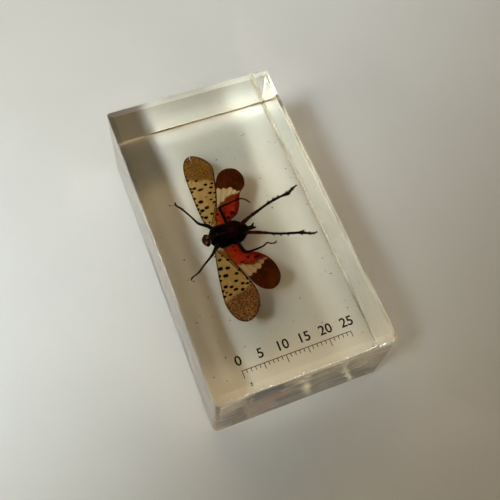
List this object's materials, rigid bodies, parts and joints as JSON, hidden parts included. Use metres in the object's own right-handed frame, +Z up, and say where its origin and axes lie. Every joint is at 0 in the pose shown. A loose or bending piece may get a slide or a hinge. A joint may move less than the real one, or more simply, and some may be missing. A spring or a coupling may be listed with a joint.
{
  "type": "insect in resin block",
  "caption": "Clear rectangular resin block with rounded edges and a spread planthopper sealed at mid height, belly up, for viewing or use as a paperweight.",
  "frame": {"origin": "centre of the block's underside, on the surface that it stands on", "axes": "+Z up, +Y along the block's length, +X across its width; the insect's head points to -X"},
  "size_m": [0.04, 0.073, 0.024],
  "materials": {
    "resin": "clear cast resin, polished, faintly yellow, refractive index about 1.5",
    "insect": "dry insect: black body and legs, tan and brown spotted forewings, red, white and dark brown hindwings"
  },
  "bodies": {
    "root": {"resin_lower_half": "resin", "resin_upper_half": "resin", "planthopper": "insect"}
  },
  "joints": []
}
